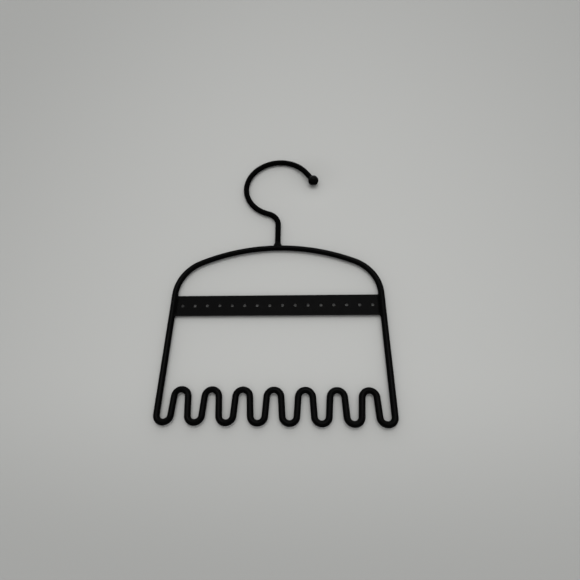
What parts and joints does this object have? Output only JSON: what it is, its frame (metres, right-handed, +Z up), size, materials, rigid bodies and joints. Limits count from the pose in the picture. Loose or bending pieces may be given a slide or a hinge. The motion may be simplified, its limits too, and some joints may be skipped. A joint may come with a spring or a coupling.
{
  "type": "hanging jewelry organizer",
  "caption": "Flat wire frame on a closet hook, with a drilled earring bar across it and a row of wire loops along its foot for necklaces.",
  "frame": {"origin": "the hook's seat: the inner top of the hook's arc, in the wire's middle plane, where the rod carries it", "axes": "+Z up as it hangs, +X towards the side that the hook opens to, and the front faces -Y"},
  "size_m": [0.18, 0.0096, 0.2515],
  "materials": {
    "frame_coat": "satin black powder coat on steel wire",
    "hook_coat": "satin black powder coat on steel wire",
    "ball_coat": "satin black powder coat, pooled smooth",
    "bar_coat": "satin black powder coat on flat steel strip",
    "weld_coat": "satin black powder coat over weld metal"
  },
  "bodies": {
    "root": {"frame_wire": "frame_coat", "hook_wire": "hook_coat", "hook_ball": "ball_coat", "earring_bar": "bar_coat", "hook_weld": "weld_coat", "bar_weld_upper_left": "weld_coat", "bar_weld_lower_left": "weld_coat", "bar_weld_upper_right": "weld_coat", "bar_weld_lower_right": "weld_coat"}
  },
  "joints": []
}
